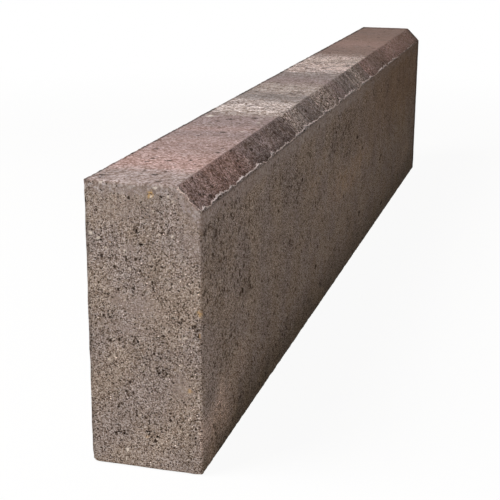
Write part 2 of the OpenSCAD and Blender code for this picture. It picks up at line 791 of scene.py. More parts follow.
class Tint(Enum):
    """Colours of the facing mix, one for each pigment batch in the hopper."""

    ASH_PINK = (0.42, 0.34, 0.33)
    SALMON = (0.49, 0.34, 0.32)
    ROSE = (0.415, 0.305, 0.295)
    MAUVE_GREY = (0.345, 0.27, 0.27)
    PLUM_GREY = (0.27, 0.215, 0.21)
    CREAM = (0.60, 0.51, 0.485)
    PALE_GREY = (0.40, 0.345, 0.335)
    GREY = (0.30, 0.265, 0.26)
    STRAW_GREY = (0.45, 0.38, 0.355)
    SLATE = (0.31, 0.265, 0.26)
    SAND = (0.67, 0.545, 0.515)
    SAND_GREY = (0.55, 0.45, 0.415)
    BROWN = (0.30, 0.22, 0.20)
    BRICK = (0.40, 0.28, 0.255)
    RED_CLAY = (0.395, 0.268, 0.248)
    RED_BROWN = (0.325, 0.232, 0.205)


Bands = tuple[tuple[float, Tint], ...]


@dataclass(frozen=True)
class Site:
    """Where a point of the surface lies in the stone, in fields that the finishes read.

    Attributes:
        place: The place on the object, in metres.
        grain: The same, but squeezed down the slope of the chamfer, for a finer grain there.
        from_back: Distance from the back face.
        from_near: Distance from the near end.
        along: Distance from the near end, as a share of the length.
        above: Height above the base.
        depth: Depth under the top or the chamfer, whichever is nearer.
        by_chamfer: 1 where the chamfer is nearer than the top.
        on_chamfer: 1 on the chamfer itself.
        on_end: 1 on the near end.
    """

    place: Field
    grain: Field
    from_back: Field
    from_near: Field
    along: Field
    above: Field
    depth: Field
    by_chamfer: Field
    on_chamfer: Field
    on_end: Field

    @classmethod
    def on(cls, sheet: NodeSheet, mould: Mould) -> "Site":
        """Makes the fields for a stone.

        Args:
            sheet: The node tree.
            mould: The block, for the places of its faces.

        Returns:
            The fields.
        """
        place = sheet.place()
        across, along, above = sheet.axes(place)
        from_near = along - float(mould.low[1])
        under_top = float(mould.high[2]) - above
        lean_x, _, lean_z = (float(part) for part in mould.chamfer_normal)
        foot_x, foot_z = (float(part) for part in mould.chamfer_foot)
        under_chamfer = lean_x * foot_x + lean_z * foot_z - lean_x * across - lean_z * above
        by_chamfer = sheet.ease(under_top - under_chamfer, *RIDGE_FADES)
        on_chamfer = by_chamfer * sheet.ease(under_chamfer, *CHAMFER_FADES)
        share = from_near / float(mould.high[1] - mould.low[1])
        return cls(
            place=place,
            grain=sheet.mix(on_chamfer, place, sheet.stretched(place, CHAMFER_GRAIN)),
            from_back=across - float(mould.low[0]),
            from_near=from_near,
            along=share,
            above=above - float(mould.low[2]),
            depth=sheet.math("MINIMUM", under_top, under_chamfer),
            by_chamfer=by_chamfer,
            on_chamfer=on_chamfer,
            on_end=sheet.ease(from_near, *END_FADES),
        )


@dataclass(frozen=True)
class Sand:
    """The sand that both mixes are made of: grains of random lightness, dark gaps and bright grains."""

    grain: float = 0.8 * MM
    grain_contrast: float = 0.38
    dome_contrast: float = 1.7
    speck: float = 1.2 * MM
    gap_share: float = 0.26
    gap_depth: float = 0.7
    bright_share: float = 0.10
    bright_gain: float = 1.3
    lump: float = 4.0 * MM
    lump_contrast: float = 0.06
    dark_cast: Rgb = (1.0, 0.88, 0.76)
    bright_cast: Rgb = (1.0, 1.06, 1.10)

    def laid_on(self, sheet: NodeSheet, place: Field, colour: Field, strength: Field) -> Field:
        """Breaks a colour up into sand.

        Each Voronoi cell is a grain with its own lightness, lit at its middle and dark in the gap round
        it. Some cells of a coarser set are dark gaps or bright grains in their middles, and the darker the
        sand the redder it is.

        Args:
            sheet: The node tree.
            place: The place on the object.
            colour: The mix's own colour.
            strength: How strongly the sand shows, from 0 to 1.

        Returns:
            The colour of the sand.
        """
        dome, tone = sheet.grains(place, self.grain)
        ground = 1 + 2 * self.grain_contrast * (tone - 0.5) + self.dome_contrast * (0.5 - dome)
        swing = self.lump_contrast
        lump = sheet.ease(sheet.noise(place, self.lump, 2.0), 0.2, 0.8, 1 - swing, 1 + swing)
        near, chance = sheet.grains(place, self.speck)
        middle = sheet.ease(near, 0.42, 0.22)
        gap = middle * sheet.ease(chance, 1 - self.gap_share, 1.12 - self.gap_share)
        bright = middle * sheet.ease(chance, self.bright_share, self.bright_share - 0.06)
        light = ground * lump * (1 - self.gap_depth * gap) * (1 + self.bright_gain * bright)
        light = 1 + strength * (light - 1)
        cast = sheet.mix(sheet.ease(light, 0.3, 1.6), self.dark_cast, self.bright_cast)
        return sheet.mix(1.0, sheet.scaled(colour, light), cast, "MULTIPLY")


@dataclass(frozen=True)
class CoreMix:
    """The grey-brown core concrete: sand, cement, and pale and ochre grit."""

    warm: Rgb = (0.380, 0.322, 0.282)
    cool: Rgb = (0.353, 0.308, 0.293)
    pale_grit: Rgb = (0.70, 0.63, 0.55)
    ochre_grit: Rgb = (0.64, 0.43, 0.20)
    far_shade_cast: Rgb = (0.87, 0.78, 0.70)
    far_shade_along: Span = (0.38, 0.82)
    far_shade_above: Span = (70 * MM, 150 * MM)
    tint_size: float = 36 * MM
    tint_grain: float = 2.1 * MM
    cloud_size: float = 26 * MM
    cloud_swing: float = 0.08
    drag_size: float = 2.0 * MM
    drag_stretch: Point = (1.0, 1.0, 0.08)
    drag_above: Span = (110 * MM, 170 * MM)
    pale_grit_size: float = 4.2 * MM
    ochre_grit_size: float = 11 * MM
    sand: Sand = Sand()

    def colour_at(self, sheet: NodeSheet, site: Site) -> Field:
        """Colour of the core at a place: clouds and drag lines over sand, and painted shade high towards the
        far end.

        Args:
            sheet: The node tree.
            site: Where the place is.

        Returns:
            The colour.
        """
        slow = sheet.noise(site.place, self.tint_size, 2.0)
        quick = sheet.noise(site.place, self.tint_grain, 1.0)
        colour = sheet.mix(sheet.ease(0.65 * slow + 0.35 * quick, 0.40, 0.60), self.warm, self.cool)
        cloud = sheet.noise(site.place, self.cloud_size, 3.0)
        darkest, lightest = 1 - self.cloud_swing, 1 + self.cloud_swing
        colour = sheet.scaled(colour, sheet.ease(cloud, 0.3, 0.7, darkest, lightest))
        drag = sheet.noise(sheet.stretched(site.place, self.drag_stretch), self.drag_size, 2.0)
        swing = sheet.ease(site.above, *self.drag_above, 0.05, 0.13)
        colour = sheet.scaled(colour, 1 + swing * sheet.ease(drag, 0.3, 0.7, -1.0, 1.0))
        # Painted shade: darker and warmer high up towards the far end, where the light falls off
        far_shade = sheet.ease(site.along, *self.far_shade_along) * sheet.ease(site.above, *self.far_shade_above)
        colour = sheet.mix(far_shade, colour, self.far_shade_cast, "MULTIPLY")
        rough = 1 - 0.4 * sheet.mark(MarkKind.SMOOTH)
        colour = self.sand.laid_on(sheet, site.place, colour, rough)
        grit = sheet.dots(site.place, self.pale_grit_size, (0.24, 0.14), (0.74, 0.82))
        colour = sheet.mix(grit * 0.75, colour, self.pale_grit)
        grit = sheet.dots(site.place, self.ochre_grit_size, (0.14, 0.07), (0.80, 0.84))
        return sheet.mix(grit * 0.6, colour, self.ochre_grit)


@dataclass(frozen=True)
class FacingMix:
    """The coloured facing mix at the top: bands of pigment across the stone, drawn into streaks."""

    skin: float = 1.4 * MM
    depth: float = 8 * MM
    uneven: float = 14 * MM
    deep_share: float = 0.65
    bare: Rgb = (0.27, 0.225, 0.215)
    bled: Rgb = (0.40, 0.365, 0.37)
    pale_grit: Rgb = (0.80, 0.74, 0.71)
    drift_size: float = 38 * MM
    drift_stretch: Point = (0.5, 1.0, 0.5)
    streak_size: float = 4.6 * MM
    streak_stretch: Point = (0.26, 1.0, 0.26)
    mottle_size: float = 11 * MM
    mottle_stretch: Point = (0.8, 1.0, 0.8)
    foot_reach: Span = (5.5 * MM, 1.0 * MM)
    foot_shade: float = 0.16
    seam_fades: Span = (0.1 * MM, -0.3 * MM)
    grit_size: float = 4.4 * MM
    ragged_size: float = 14 * MM
    layer_fades: Span = (-3 * MM, 3 * MM)
    sand: Sand = Sand(
        grain=1.2 * MM,
        grain_contrast=0.75,
        dome_contrast=0.4,
        speck=2.2 * MM,
        gap_share=0.36,
        bright_share=0.2,
        bright_gain=0.8,
        lump=6 * MM,
        lump_contrast=0.2,
    )
    bands: Bands = (
        (0.000, Tint.ASH_PINK), (0.025, Tint.ASH_PINK), (0.045, Tint.SALMON), (0.075, Tint.SALMON),
        (0.105, Tint.ROSE), (0.145, Tint.ROSE), (0.165, Tint.MAUVE_GREY), (0.190, Tint.ROSE),
        (0.215, Tint.MAUVE_GREY), (0.240, Tint.MAUVE_GREY), (0.262, Tint.STRAW_GREY),
        (0.280, Tint.CREAM), (0.315, Tint.CREAM), (0.335, Tint.PALE_GREY), (0.350, Tint.GREY),
        (0.368, Tint.GREY), (0.388, Tint.STRAW_GREY), (0.420, Tint.STRAW_GREY),
        (0.450, Tint.MAUVE_GREY), (0.500, Tint.SLATE), (0.520, Tint.PALE_GREY), (0.535, Tint.SAND),
        (0.590, Tint.SAND), (0.608, Tint.SAND_GREY), (0.622, Tint.SAND_GREY), (0.650, Tint.SAND),
        (0.688, Tint.BROWN), (0.735, Tint.BROWN), (0.790, Tint.BRICK), (0.850, Tint.RED_BROWN),
        (0.925, Tint.BROWN), (1.000, Tint.RED_BROWN),
    )
    chamfer_bands: Bands = (
        (0.000, Tint.ROSE), (0.025, Tint.ROSE), (0.050, Tint.RED_CLAY), (0.105, Tint.RED_CLAY),
        (0.130, Tint.ROSE), (0.158, Tint.PLUM_GREY), (0.185, Tint.MAUVE_GREY),
        (0.205, Tint.PLUM_GREY), (0.255, Tint.PLUM_GREY), (0.275, Tint.SAND_GREY),
        (0.288, Tint.CREAM), (0.302, Tint.STRAW_GREY), (0.325, Tint.SLATE), (0.365, Tint.SLATE),
        (0.385, Tint.STRAW_GREY), (0.405, Tint.SAND_GREY), (0.432, Tint.STRAW_GREY),
        (0.455, Tint.MAUVE_GREY), (0.495, Tint.SLATE), (0.540, Tint.SLATE),
        (0.558, Tint.STRAW_GREY), (0.585, Tint.STRAW_GREY), (0.602, Tint.PLUM_GREY),
        (0.616, Tint.PLUM_GREY), (0.636, Tint.SALMON), (0.655, Tint.ROSE), (0.680, Tint.BROWN),
        (0.720, Tint.BROWN), (0.780, Tint.SALMON), (0.840, Tint.SALMON), (0.905, Tint.BRICK),
        (1.000, Tint.BRICK),
    )

    @staticmethod
    def banded(sheet: NodeSheet, along: Field, bands: Bands) -> Field:
        """Colour of the pigment bands at a share of the length."""
        stops = [(where, tint.value) for where, tint in bands]
        return sheet.add("ShaderNodeValToRGB", {"stops": stops}, {0: along})

    def colour_at(self, sheet: NodeSheet, site: Site) -> Field:
        """Colour of the facing at a place.

        Noise that is drawn out across the stone bends the bands and makes the streaks, and slower noise
        lets bare cement show between them.

        Args:
            sheet: The node tree.
            site: Where the place is.

        Returns:
            The colour.
        """
        drift = sheet.noise(sheet.stretched(site.place, self.drift_stretch), self.drift_size, 2.0)
        streak = sheet.noise(sheet.stretched(site.place, self.streak_stretch), self.streak_size, 3.0, 0.6)
        drawn = sheet.ease(site.along, 0.15, 0.30, 0.25, 1.0)
        strayed = drawn * (0.09 + 0.07 * site.by_chamfer)
        bent = site.along + 0.04 * (drift - 0.5) + strayed * (streak - 0.5)
        top, chamfer = (self.banded(sheet, bent, bands) for bands in (self.bands, self.chamfer_bands))
        colour = sheet.mix(site.by_chamfer, top, chamfer)
        coarse = sheet.ease(sheet.brightness(colour), 0.28, 0.50, 0.55, 1.0)
        mottle = sheet.noise(sheet.stretched(site.place, self.mottle_stretch), self.mottle_size, 4.0, 0.6)
        worn = sheet.ease(mottle, 0.50, 0.64) * sheet.ease(site.along, 0.10, 0.30, 0.45, 1.0)
        colour = sheet.mix(worn * coarse * 0.75, colour, self.bare)
        lined = site.on_chamfer * sheet.ease(site.along, 0.46, 0.54) * sheet.ease(site.along, 0.72, 0.64)
        swing = drawn * (1 + 2.0 * lined)
        colour = sheet.scaled(colour, 1 + swing * sheet.ease(streak, 0.25, 0.75, -0.12, 0.15))
        patchy = site.on_chamfer * sheet.ease(site.along, 0.50, 0.75, 1.0, 0.3)
        colour = sheet.scaled(colour, 1 + patchy * sheet.ease(mottle, 0.36, 0.64, -0.25, 0.25))
        above_seam = sheet.attribute(SEAM_HEIGHT)
        low = site.on_chamfer * sheet.ease(above_seam, *self.foot_reach, 0.0, self.foot_shade)
        colour = sheet.scaled(colour, 1 - low)
        thin = sheet.ease(site.depth, self.skin, 2 * self.skin, 0.0, 0.7)
        under_seam = sheet.ease(above_seam, *self.seam_fades, 0.0, 0.85)
        colour = sheet.mix(sheet.most(thin, under_seam), colour, self.bled)
        calm = sheet.ease(site.along, 0.66, 0.74) * (0.55 - 0.35 * site.on_chamfer)
        grainy = coarse * (1 - calm) * (1 + 0.4 * site.on_chamfer)
        colour = self.sand.laid_on(sheet, sheet.stretched(site.grain, self.mottle_stretch), colour, grainy)
        grit = sheet.dots(site.place, self.grit_size, (0.28, 0.14), (0.76, 0.86))
        return sheet.mix(grit * grainy * 0.75, colour, self.pale_grit)

    def share_at(self, sheet: NodeSheet, site: Site) -> Field:
        """How far the facing has the place to itself: a full skin, and a thinner share in a ragged layer.

        Args:
            sheet: The node tree.
            site: Where the place is.

        Returns:
            1 in the facing, 0 in the core.
        """
        ragged = sheet.noise(site.place, self.ragged_size, 4.0, 0.6)
        edge = self.depth + self.uneven * (ragged - 0.5)
        layer = sheet.ease(edge - site.depth, *self.layer_fades, 0.0, self.deep_share)
        layer = layer * sheet.ease(site.along, 0.40, 0.70, 1.0, 0.4)
        return sheet.most(layer, sheet.ease(site.depth, self.skin, 0.6 * self.skin))


@dataclass(frozen=True)
class Concrete:
    """The stone's finish: facing over core, with pores, worn arrises, the flash and the spots."""

    core: CoreMix = CoreMix()
    facing: FacingMix = FacingMix()
    flash: Flash = Flash()
    flash_and_highlight_colour: Rgb = (0.94, 0.83, 0.82)
    crumb_and_light_colour: Rgb = (0.88, 0.76, 0.71)
    base_shade_cast: Rgb = (0.58, 0.56, 0.49)
    blush_and_light_cast: Rgb = (1.52, 1.45, 1.43)
    pale_colour: Rgb = (0.88, 0.82, 0.75)
    hollow_dirt_and_shade_share: float = 0.95
    hollow_dirt_and_shade_colour: Rgb = (0.045, 0.031, 0.024)
    smooth_colour: Rgb = (0.355, 0.300, 0.290)
    roughness: float = 0.95
    shine: float = 0.08
    bump_strength: float = 0.8
    bump_distance: float = 0.5 * MM
    bump_grain: float = 0.9 * MM
    bump_gap: float = 1.2 * MM
    pit_depth: float = 0.8
    pit_cloud: float = 17 * MM
    pit_tear: float = 0.9 * MM
    pit_foot: float = 7 * MM
    ochre_tear: float = 1.6 * MM
    hollow_tear: float = 1.5 * MM
    quick_size: float = 1.7 * MM
    slow_size: float = 5 * MM
    jag_size: float = 3.2 * MM
    rim_jag: float = 9 * MM
    notch_shade_fades: Span = (0.4 * MM, 0.0)
    crumbs_and_light_from: Span = (-0.2 * MM, 0.1 * MM)
    crumbs_and_light_to: Span = (1.3 * MM, 0.6 * MM)
    crumbs_and_light_reach: Span = (4 * MM, 2.5 * MM)
    base_shade_above: Span = (44 * MM, 4 * MM)
    base_shade_swing: float = 30 * MM
    dark_edge_under: Span = (3 * MM, 1.5 * MM)
    dark_edge_reach: float = 3.0 * MM
    dark_edge_growth: float = 2.0 * MM
    dark_edge_swing: float = 2.0 * MM
    dark_edge_patch: float = 14 * MM
    far_dark_edge: float = 0.85
    flash_fades: Span = (-0.2 * MM, 0.2 * MM)

    def material(self, mould: Mould) -> bpy.types.Material:
        """Makes the material.

        Args:
            mould: The block, for the facing's depth and the bands' places.

        Returns:
            The material.
        """
        made = bpy.data.materials.new("kerb_concrete")
        made.use_nodes = True
        sheet = NodeSheet(made.node_tree)
        site = Site.on(sheet, mould)
        facing = self.facing.share_at(sheet, site)
        foot = float(mould.chamfer_foot[1] - mould.low[2])
        pits = self.pits_at(sheet, site, facing, foot)
        colour = sheet.mix(facing, self.core.colour_at(sheet, site), self.facing.colour_at(sheet, site))
        colour = self.spotted(sheet, site, colour, pits)
        colour = self.edged(sheet, site, colour)
        height = self.height_at(sheet, site) - self.pit_depth * pits
        relief = {"Strength": self.bump_strength, "Distance": self.bump_distance, "Height": height}
        bump = sheet.add("ShaderNodeBump", None, relief)
        inputs = {
            "Base Color": colour,
            "Roughness": self.roughness,
            "Specular IOR Level": self.shine,
            "Normal": bump,
        }
        shader = sheet.add("ShaderNodeBsdfPrincipled", None, inputs)
        sheet.add("ShaderNodeOutputMaterial", None, {"Surface": shader})
        return made

    def spotted(self, sheet: NodeSheet, site: Site, colour: Field, pits: Field) -> Field:
        """Lays the patches, the pores, the grit and the hollows over a colour.

        Args:
            sheet: The node tree.
            site: Where the place is.
            colour: Colour of the sound concrete.
            pits: 1 in a pore, 0 outside.

        Returns:
            The spotted colour.
        """
        colour = sheet.mix(sheet.mark(MarkKind.SMOOTH) * 0.25, colour, self.smooth_colour)
        # Lighter pinkish patches, partly painted light from the floor's bounce near the near end
        colour = sheet.mix(sheet.mark(MarkKind.BLUSH), colour, self.blush_and_light_cast, "MULTIPLY")
        broken = sheet.ease(sheet.noise(site.place, self.ochre_tear, 2.0), 0.40, 0.58, 0.3, 0.9)
        colour = sheet.mix(sheet.mark(MarkKind.OCHRE) * broken, colour, self.core.ochre_grit)
        # Pores and hollows darkened with dirt and painted shade
        dark = self.hollow_dirt_and_shade_share * (0.85 + 0.15 * site.on_end)
        colour = sheet.mix(pits * dark, colour, self.hollow_dirt_and_shade_colour)
        colour = sheet.mix(sheet.mark(MarkKind.PALE) * 0.85, colour, self.pale_colour)
        torn = sheet.mark(MarkKind.HOLLOW) + 1.1 * (sheet.noise(site.place, self.hollow_tear, 2.0) - 0.5)
        return sheet.mix(sheet.ease(torn, 0.40, 0.56) * self.hollow_dirt_and_shade_share, colour, self.hollow_dirt_and_shade_colour)

    def edged(self, sheet: NodeSheet, site: Site, colour: Field) -> Field:
        """Lays the broken rim, painted shade at the foot, darker outer edges and the flash over a colour.

        The near end's rim is a line that noise bends to and fro, with the chamfer's shade painted on as dark
        notches where it lies on the end, and pale bits of crumb along it that also paint the end's light
        onto the chamfer. The flash is a pale line along the seam, partly a painted highlight of its crest.

        Args:
            sheet: The node tree.
            site: Where the place is.
            colour: Colour of the concrete.

        Returns:
            The finished colour.
        """
        quick = sheet.noise(site.place, self.quick_size, 2.0) - 0.5
        slow = sheet.noise(site.place, self.slow_size, 3.0, 0.6)
        jag = sheet.noise(site.place, self.jag_size, 3.0, 0.6) - 0.5
        past_rim = site.depth - site.from_near - self.rim_jag * jag
        # The chamfer's shade painted onto the end as dark notches along the rim
        notch_shade = site.on_end * site.by_chamfer * sheet.ease(past_rim, *self.notch_shade_fades)
        colour = sheet.scaled(colour, 1 - 0.5 * notch_shade)
        # Pale bits of crumb along the rim, stronger on the chamfer, where they also paint the end's light
        crumbs_and_light = sheet.ease(past_rim, *self.crumbs_and_light_from) * sheet.ease(past_rim, *self.crumbs_and_light_to)
        crumbs_and_light = crumbs_and_light * sheet.ease(slow, 0.44, 0.54) * (0.25 + 0.75 * site.by_chamfer)
        crumbs_and_light = crumbs_and_light * sheet.ease(site.depth + site.from_near, *self.crumbs_and_light_reach)
        colour = sheet.mix(crumbs_and_light, colour, self.crumb_and_light_colour)
        off_end = 1 - site.on_end
        # Painted shade: darker towards the foot on all but the near end
        base_shade = off_end * sheet.ease(site.above + self.base_shade_swing * (slow - 0.5), *self.base_shade_above)
        base_shade = base_shade * (1 - 0.8 * sheet.mark(MarkKind.BLUSH)) * (1 - 0.35 * site.along)
        # Darker along the back edges and the far end's edges, in patches
        under_rim = sheet.most(0.5 * site.on_end, sheet.ease(site.depth, *self.dark_edge_under))
        reach = self.dark_edge_reach + self.dark_edge_growth * site.along
        back = under_rim * sheet.ease((site.from_back + self.dark_edge_swing * quick) / reach, 1.2, 0.6)
        far = self.far_dark_edge * sheet.ease(site.along, 0.972, 0.998) * sheet.ease(site.along, 0.9994, 0.9988)
        patchy = sheet.ease(sheet.noise(site.place, self.dark_edge_patch, 3.0), 0.36, 0.62, 0.3, 0.8)
        colour = sheet.mix(base_shade, colour, self.base_shade_cast, "MULTIPLY")
        colour = sheet.scaled(colour, (1 - patchy * back) * (1 - patchy * far))
        # The seam's pale line: lighter paste, and partly a painted highlight of the fin's lit crest
        left = sheet.attribute(FLASH_MASK)
        away = sheet.math("ABSOLUTE", sheet.attribute(SEAM_HEIGHT))
        half = sheet.ease(site.along, 0.0, 1.0, self.flash.half_width, self.flash.half_width_far)
        half = half * (sheet.ease(slow, 0.35, 0.65, 0.35, 1.5) + 0.8 * quick)
        pale = sheet.ease(half - away, *self.flash_fades)
        return sheet.mix(off_end * pale * sheet.ease(left, 0.1, 0.35), colour, self.flash_and_highlight_colour)

    def pits_at(self, sheet: NodeSheet, site: Site, facing: Field, foot: float) -> Field:
        """Ragged pores of three sizes, crowded in the pitted spots, on the chamfer and above its foot.

        The pores are the middles of Voronoi cells. The share of the cells that have one grows with the
        crowding, and a cell's random number also sets its pore's size.

        Args:
            sheet: The node tree.
            site: Where the place is.
            facing: 1 in the facing, 0 in the core.
            foot: Height of the chamfer's lower edge.

        Returns:
            1 in a pore, 0 outside.
        """
        pitted = sheet.mark(MarkKind.PITTED)
        sound = facing + sheet.mark(MarkKind.SMOOTH)
        slow = sheet.ease(sheet.noise(site.place, self.pit_cloud, 3.0), 0.36, 0.66)
        by_foot = sheet.ease(site.above, foot + self.pit_foot, foot)
        rough = site.on_chamfer * sheet.ease(site.along, 0.12, 0.4, 1.0, 0.4) * (0.32 + 0.50 * by_foot)
        small = 0.24 + 0.10 * slow + 0.3 * pitted - 0.30 * sound + rough
        middling = 0.04 + 0.04 * slow + 1.0 * pitted - 0.06 * sound
        large = (1 - site.on_end) * (0.11 + 0.08 * slow + 0.65 * pitted - 0.10 * sound + 0.25 * rough)
        torn = 0.9 * (sheet.noise(site.grain, self.pit_tear, 2.0) - 0.5)
        pores = []
        # Width of a cell, share of the cells with a pore, widest pore in cells, softness of its rim
        sets = (
            (0.85 * MM, small, 0.85, 0.18),
            (2.2 * MM, middling, 0.58, 0.1),
            (4.6 * MM, large, 0.6, 0.1),
        )
        for size, share, widest, rim in sets:
            near, chance = sheet.grains(site.grain, size)
            radius = sheet.ease(chance, 1 - sheet.most(share, 0.001), 1.0, -0.2, widest)
            pores.append(sheet.ease(radius - near - torn, 0.0, rim))
        return sheet.most(*pores)

    def height_at(self, sheet: NodeSheet, site: Site) -> Field:
        """Height of the fine relief: domed grains, and gaps between them.

        Args:
            sheet: The node tree.
            site: Where the place is.

        Returns:
            The height, in parts of the bump's distance.
        """
        dome, tone = sheet.grains(site.place, self.bump_grain)
        gaps = sheet.dots(site.place, self.bump_gap, (0.42, 0.16), (0.5, 0.62))
        return 0.4 * tone - 0.4 * dome - 0.6 * gaps


@dataclass(frozen=True)
class PaleFloor:
    """The floor's finish: white to the camera, with the stone's shadow, and a warm bounce of light."""

    bounce_near: Rgb = (0.95, 0.86, 0.80)
    bounce_far: Rgb = (0.37, 0.275, 0.170)
    far_from: float = -0.1
    far_to: float = 0.6
    glow: float = 1.0
    glow_near: float = 0.94
    shadow_from: float = 0.7
    shadow_to: float = 1.6

    def material(self) -> bpy.types.Material:
        """Makes the material: for the camera white under a glow that hides distant gloom, else the bounce.

        The bounce fades and grows warmer towards the far end, where the floor is further from the lamp.

        Returns:
            The material.
        """
        made = bpy.data.materials.new("pale_floor")
        made.use_nodes = True
        sheet = NodeSheet(made.node_tree)
        away = sheet.add("ShaderNodeVectorMath", {"operation": "LENGTH"}, {0: sheet.place()}, "Value")
        share = sheet.ease(away, self.shadow_from, self.shadow_to, self.glow_near, 1.0)
        white = sheet.add("ShaderNodeBsdfDiffuse", None, {"Color": (1.0, 1.0, 1.0, 1.0)})
        glow = sheet.add("ShaderNodeEmission", None, {"Strength": self.glow})
        seen = sheet.add("ShaderNodeMixShader", None, {0: share, 1: white, 2: glow})
        _, along, _ = sheet.axes(sheet.place())
        near, far = (
            sheet.add("ShaderNodeBsdfDiffuse", None, {"Color": (*colour, 1.0)})
            for colour in (self.bounce_near, self.bounce_far)
        )
        distant = sheet.ease(along, self.far_from, self.far_to)
        dull = sheet.add("ShaderNodeMixShader", None, {0: distant, 1: near, 2: far})
        shown = sheet.add("ShaderNodeMixShader", None, {0: seen_directly(sheet), 1: dull, 2: seen})
        sheet.add("ShaderNodeOutputMaterial", None, {"Surface": shown})
        return made


def seen_directly(sheet: NodeSheet) -> Field:
    """Tells the rays that see from those that light.

    Args:
        sheet: The node tree.

    Returns:
        1 for rays from the camera, and for those that a mirror or glass sends on, 0 for light's own.
    """
    path = sheet.add("ShaderNodeLightPath").socket.node.outputs
    kinds = ("Is Camera Ray", "Is Glossy Ray", "Is Transmission Ray")
    return sheet.most(*(Field(sheet, path[kind]) for kind in kinds))


# The stone and the studio


def linked(name: str, data: bpy.types.ID) -> bpy.types.Object:
    """A new object with its data, linked to the scene."""
    made = bpy.data.objects.new(name, data)
    bpy.context.scene.collection.objects.link(made)
    return made


@dataclass
class KerbStone:
    """The stone as it came out of the mould, in one closed surface."""

    mould: Mould
    relief: Relief = Relief()
    finish: Concrete = Concrete()
    near_step: float = 0.8 * MM
    far_step: float = 2.2 * MM
    along_steps: Span = (1.0 * MM, 4.4 * MM)
    side_steps: tuple[float, ...] = (14 * MM, 3.7 * MM, 1.5 * MM, 2.4 * MM, 11 * MM)
    side_growth: float = 0.34
    along_growth: float = 0.28
    edge_step: float = 0.45 * MM
    rim: float = 1.0 * MM
    roof_rim: float = 1.2 * MM
    least_pore_near: float = 0.5 * MM
    least_pore: float = 1.1 * MM
    ragged_size: float = 2.6 * MM
    ragged_seed: int = 149

    def build(self) -> bpy.types.Object:
        """Builds the stone, gives it its finish, hides its solid and attaches it to the body.

        Returns:
            The finished piece.
        """
        wall, laps = self.wall()
        near, near_laps = self.end(self.near_step, far=False)
        far, far_laps = self.end(self.far_step, far=True)
        near.first = wall.numbers.size
        far.first = near.first + near.numbers.size
        ring = wall.numbers[:, 0]
        far_ring = wall.numbers[:, -1]
        near_edge = self.rim_of(near.numbers)
        far_edge = self.rim_of(far.numbers)
        looped = np.concatenate([wall.numbers, wall.numbers[:1]])
        faces = np.concatenate([quads(looped)[:, ::-1], quads(near.numbers), quads(far.numbers)[:, ::-1]])
        strips = [
            zipped(ring, laps, near_edge, near_laps),
            zipped(far_ring, laps, far_edge, far_laps)[:, ::-1],
        ]
        points = np.concatenate([s.points.reshape(-1, 3) for s in (wall, near, far)])
        outward = np.concatenate([s.outward.reshape(-1, 3) for s in (wall, near, far)])
        fine = np.repeat([False, True, False], [s.numbers.size for s in (wall, near, far)])
        points, masks = self.weathered(points, outward, fine)
        piece = self.mesh_object("kerb_stone_cast", points, faces, np.concatenate(strips), masks)
        piece.data.materials.append(self.finish.material(self.mould))
        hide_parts(NODE)
        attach(piece, BODY)
        return piece

    def wall(self) -> tuple[Sheet, np.ndarray]:
        """The long faces: the section's outline carried along the length.

        Returns:
            The grid, with its first axis round the outline, and how far round each point of that is.
        """
        corners = self.mould.corners()
        outline, laps = [], []
        for side, middle in enumerate(self.side_steps):
            start, stop = corners[side], corners[(side + 1) % len(corners)]
            length = float(np.linalg.norm(stop - start))
            part = spaced(length, self.graded(length, middle))[:-1] / length
            outline.append(start + (stop - start) * part[:, None])
            laps.append((side + part) / len(corners))
        outline = np.concatenate(outline)
        span = float(self.mould.high[1] - self.mould.low[1])
        along = self.mould.low[1] + spaced(span, self.stations(span))
        return self.cast(outline[:, :1], along, outline[:, 1:]), np.concatenate(laps)

    def cast(self, across: np.ndarray, along: np.ndarray, up: np.ndarray) -> Sheet:
        """The rounded and worn surface over a grid of places on the sharp block, by their three parts."""
        points = np.stack(np.broadcast_arrays(across, along, up), axis=-1)
        return Sheet(*self.mould.rounded(points, self.relief.wear(points)))

    @staticmethod
    def even(step: float) -> Callable[[np.ndarray], np.ndarray]:
        """A step that is the same all along a line."""
        return lambda at: np.full_like(at, step)

    def graded(self, length: float, middle: float) -> Callable[[np.ndarray], np.ndarray]:
        """A step that is fine at both ends of a line and grows to a coarser one between them."""
        return lambda at: np.minimum(middle, self.edge_step + self.side_growth * np.minimum(at, length - at))

    def stations(self, span: float) -> Callable[[np.ndarray], np.ndarray]:
        """The step along the length: fine at the ends' edges, and else growing from near to far.

        Args:
            span: The length.

        Returns:
            The wanted spacing, by distance from the near end.
        """
        near, far = self.along_steps

        def step(at: np.ndarray) -> np.ndarray:
            """The wanted spacing at distances from the near end."""
            by_edge = self.edge_step + self.along_growth * np.minimum(at, span - at)
            return np.minimum(near + (far - near) * at / span, by_edge)

        return step

    def end(self, step: float, far: bool) -> tuple[Sheet, np.ndarray]:
        """An end face inside its rim: even columns across the width, each spread from base to roof.

        Args:
            step: Spacing of the grid.
            far: True for the far end.

        Returns:
            The grid, with its first axis across the width, and how far round each rim point is.
        """
        low, high = self.mould.low, self.mould.high
        width, _, height = (float(size) for size in high - low)
        across = low[0] + self.rim + spaced(width - 2 * self.rim, self.even(step))
        part = spaced(height, self.even(step)) / height
        roof = self.mould.roof(across) - self.roof_rim
        base = low[2] + self.rim
        grid = self.cast(across[:, None], high[1] if far else low[1], base + (roof[:, None] - base) * part)
        right = (across - across[0]) / (across[-1] - across[0])
        head = self.mould.chamfer_head[0]
        top = np.where(
            across > head,
            2 + (high[0] - across) / (high[0] - head),
            3 + (head - across) / (head - low[0]),
        )
        sides = len(self.side_steps)
        laps = np.concatenate([right[:-1], 1 + part[:-1], top[:0:-1], sides - part[:0:-1]]) / sides
        return grid, laps

    @staticmethod
    def rim_of(numbers: np.ndarray) -> np.ndarray:
        """The outer vertices of an end's grid, round by the base, the road face, the top and the back."""
        return np.concatenate([numbers[:-1, 0], numbers[-1, :-1], numbers[:0:-1, -1], numbers[0, :0:-1]])

